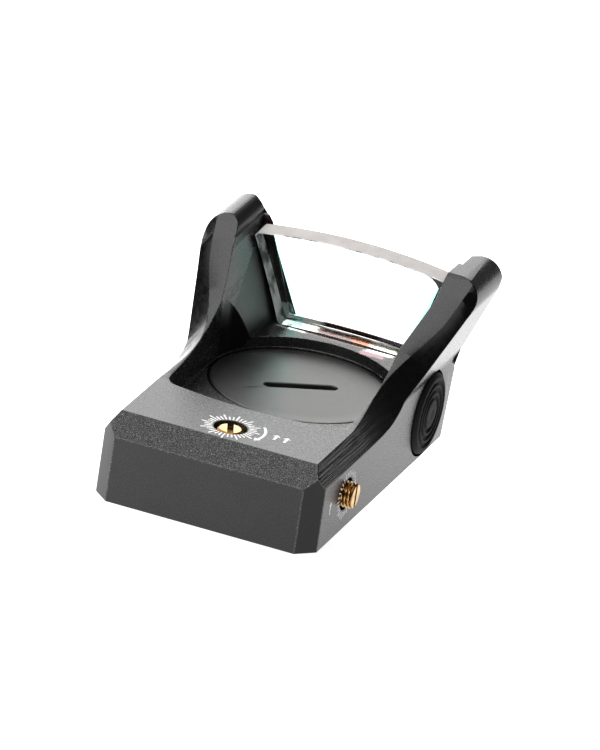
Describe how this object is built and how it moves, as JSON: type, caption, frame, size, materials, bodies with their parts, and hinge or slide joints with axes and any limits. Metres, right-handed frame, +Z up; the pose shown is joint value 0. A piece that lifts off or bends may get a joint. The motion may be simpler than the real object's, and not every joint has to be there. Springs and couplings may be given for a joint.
{
  "type": "open reflex sight",
  "caption": "Miniature open red dot finder: one-piece housing with flared posts around a tilted lens, coin battery cap, brass adjusters and a side button.",
  "frame": {"origin": "middle of the underside, on the base plate", "axes": "+X to the user's right (the windage screw's side), +Y from the user to the target, +Z up"},
  "size_m": [0.0374, 0.053, 0.0243],
  "materials": {
    "anodised_black": "bead-blasted and black anodised, satin on the machined chamfers",
    "lens_glass": "polished, with a thin reflective coating",
    "brass": "turned, bright",
    "black_rubber": "matte moulded",
    "steel": "bright",
    "cell_steel": "nickel plated",
    "board_green": "solder mask over glass laminate",
    "chip_black": "moulded epoxy",
    "black_plastic": "moulded",
    "led": "clear epoxy over a red chip",
    "flex_amber": "polyimide film"
  },
  "bodies": {
    "housing_body": {"housing": "anodised_black", "reflex_lens": "lens_glass", "lens_seal": "black_rubber", "emitter_window": "lens_glass", "circuit_board": "board_green", "control_chip": "chip_black", "coin_cell": "cell_steel", "cell_contact": "steel", "switch_board": "board_green", "tact_switch": "steel", "emitter_flex": "flex_amber", "elevation_spring": "steel", "windage_spring": "steel", "base_plate": "anodised_black", "base_gasket": "black_rubber", "base_screw_1": "steel", "base_screw_2": "steel", "base_screw_3": "steel", "base_screw_4": "steel"},
    "cap_ring": {"cap_o_ring": "black_rubber"},
    "cap": {"battery_cap": "anodised_black", "cap_contact": "steel"},
    "button": {"button_pad": "black_rubber", "button_plunger": "black_plastic"},
    "elevation_carriage": {"elevation_slider": "brass"},
    "elevation_adjuster": {"elevation_screw": "brass", "elevation_clip": "steel"},
    "emitter": {"emitter_block": "black_plastic", "led_emitter": "led"},
    "windage_tip": {"windage_foot": "brass"},
    "windage_adjuster": {"windage_screw": "brass"}
  },
  "joints": [
    {"name": "cap_lift", "type": "slide", "parent": "housing_body", "child": "cap_ring", "axis": [0, 0, 1], "range_m": [0, 0.00225]},
    {"name": "cap_turn", "type": "hinge", "parent": "cap_ring", "child": "cap", "pos_m": [0, 0.0065, 0.0081], "axis": [0, 0, 1], "range_deg": [0, 1080]},
    {"name": "button_press", "type": "slide", "parent": "housing_body", "child": "button", "axis": [-1, 0, 0], "range_m": [0, 0.0004], "stiffness_N_per_m": 2000},
    {"name": "elevation_lift", "type": "slide", "parent": "housing_body", "child": "elevation_carriage", "axis": [0, 0, 1], "range_m": [-0.000412, 0.000412], "deforming": ["elevation_spring"]},
    {"name": "elevation_turn", "type": "hinge", "parent": "elevation_carriage", "child": "elevation_adjuster", "pos_m": [0, -0.0198, 0.01135], "axis": [0, 0, 1], "range_deg": [-330, 330]},
    {"name": "windage_advance", "type": "slide", "parent": "housing_body", "child": "windage_tip", "axis": [1, 0, 0], "range_m": [-0.000412, 0.000412]},
    {"name": "windage_turn", "type": "hinge", "parent": "windage_tip", "child": "windage_adjuster", "pos_m": [0.01625, -0.0154, 0.005], "axis": [1, 0, 0], "range_deg": [-330, 330]},
    {"name": "emitter_shift", "type": "slide", "parent": "elevation_carriage", "child": "emitter", "axis": [1, 0, 0], "range_m": [-0.000412, 0.000412]}
  ],
  "couplings": [
    {"joint": "cap_turn", "follows": "cap_lift", "rad_per_m": 8377.6},
    {"joint": "elevation_turn", "follows": "elevation_lift", "rad_per_m": 13963},
    {"joint": "windage_turn", "follows": "windage_advance", "rad_per_m": 13963},
    {"joint": "emitter_shift", "follows": "windage_advance", "ratio": 1}
  ]
}
